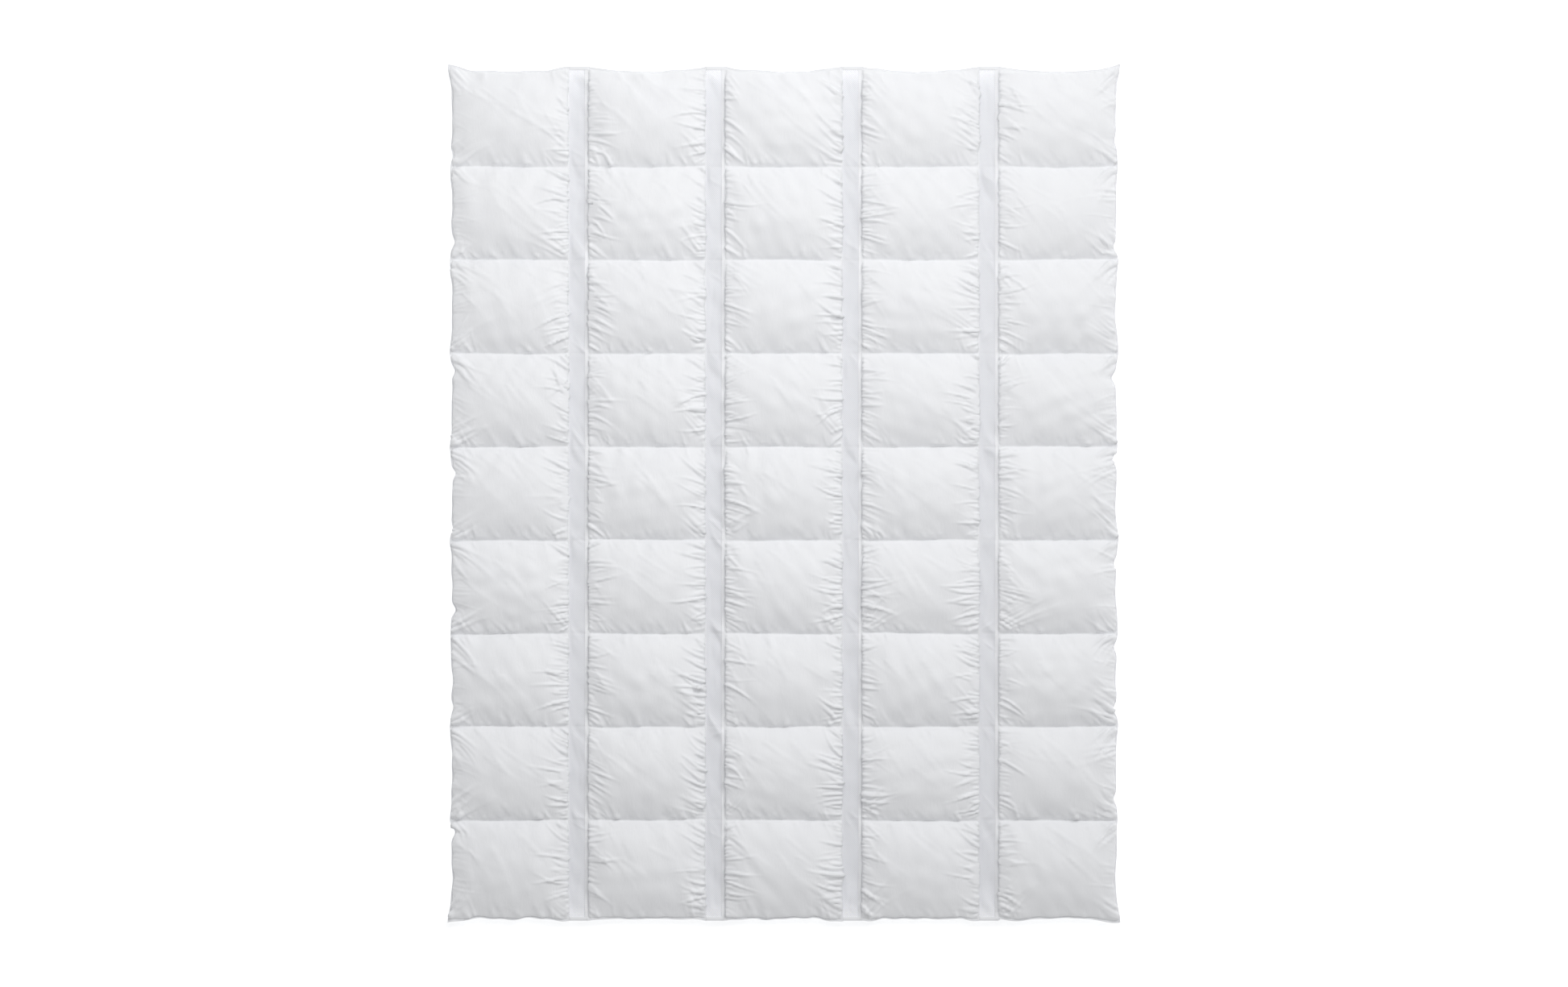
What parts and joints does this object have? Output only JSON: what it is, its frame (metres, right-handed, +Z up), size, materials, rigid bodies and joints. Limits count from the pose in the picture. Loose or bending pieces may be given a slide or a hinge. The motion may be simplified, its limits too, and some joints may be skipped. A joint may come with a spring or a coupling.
{
  "type": "duvet",
  "caption": "Flat down duvet of puffed quilted boxes in lengthwise columns, joined by mesh ventilation strips along which the columns fold.",
  "frame": {"origin": "middle of the duvet's footprint, on the surface that it lies on", "axes": "+X across the width, from column 1 to column 5; +Y along the length, towards the head end; +Z up"},
  "size_m": [1.53, 1.9556, 0.06],
  "materials": {
    "ticking": "matte",
    "mesh": "matte",
    "down": "matte"
  },
  "bodies": {
    "column_1": {"top_ticking_c1": "ticking", "bottom_ticking_c1": "ticking", "down_fill_c1_r1": "down", "down_fill_c1_r2": "down", "down_fill_c1_r3": "down", "down_fill_c1_r4": "down", "down_fill_c1_r5": "down", "down_fill_c1_r6": "down", "down_fill_c1_r7": "down", "down_fill_c1_r8": "down", "down_fill_c1_r9": "down"},
    "column_2": {"top_ticking_c2": "ticking", "bottom_ticking_c2": "ticking", "down_fill_c2_r1": "down", "down_fill_c2_r2": "down", "down_fill_c2_r3": "down", "down_fill_c2_r4": "down", "down_fill_c2_r5": "down", "down_fill_c2_r6": "down", "down_fill_c2_r7": "down", "down_fill_c2_r8": "down", "down_fill_c2_r9": "down", "mesh_strip_1": "mesh"},
    "column_3": {"top_ticking_c3": "ticking", "bottom_ticking_c3": "ticking", "down_fill_c3_r1": "down", "down_fill_c3_r2": "down", "down_fill_c3_r3": "down", "down_fill_c3_r4": "down", "down_fill_c3_r5": "down", "down_fill_c3_r6": "down", "down_fill_c3_r7": "down", "down_fill_c3_r8": "down", "down_fill_c3_r9": "down", "mesh_strip_2": "mesh", "mesh_strip_3": "mesh"},
    "column_4": {"top_ticking_c4": "ticking", "bottom_ticking_c4": "ticking", "down_fill_c4_r1": "down", "down_fill_c4_r2": "down", "down_fill_c4_r3": "down", "down_fill_c4_r4": "down", "down_fill_c4_r5": "down", "down_fill_c4_r6": "down", "down_fill_c4_r7": "down", "down_fill_c4_r8": "down", "down_fill_c4_r9": "down", "mesh_strip_4": "mesh"},
    "column_5": {"top_ticking_c5": "ticking", "bottom_ticking_c5": "ticking", "down_fill_c5_r1": "down", "down_fill_c5_r2": "down", "down_fill_c5_r3": "down", "down_fill_c5_r4": "down", "down_fill_c5_r5": "down", "down_fill_c5_r6": "down", "down_fill_c5_r7": "down", "down_fill_c5_r8": "down", "down_fill_c5_r9": "down"}
  },
  "joints": [
    {"name": "fold_1", "type": "hinge", "parent": "column_2", "child": "column_1", "pos_m": [-0.4695, 0, 0.024], "axis": [0, 1, 0], "range_deg": [-90, 120], "deforming": ["mesh_strip_1"]},
    {"name": "fold_2", "type": "hinge", "parent": "column_3", "child": "column_2", "pos_m": [-0.1565, 0, 0.024], "axis": [0, 1, 0], "range_deg": [-60, 60], "deforming": ["mesh_strip_2"]},
    {"name": "fold_3", "type": "hinge", "parent": "column_3", "child": "column_4", "pos_m": [0.1565, 0, 0.024], "axis": [0, -1, 0], "range_deg": [-60, 60], "deforming": ["mesh_strip_3"]},
    {"name": "fold_4", "type": "hinge", "parent": "column_4", "child": "column_5", "pos_m": [0.4695, 0, 0.024], "axis": [0, -1, 0], "range_deg": [-90, 120], "deforming": ["mesh_strip_4"]}
  ]
}
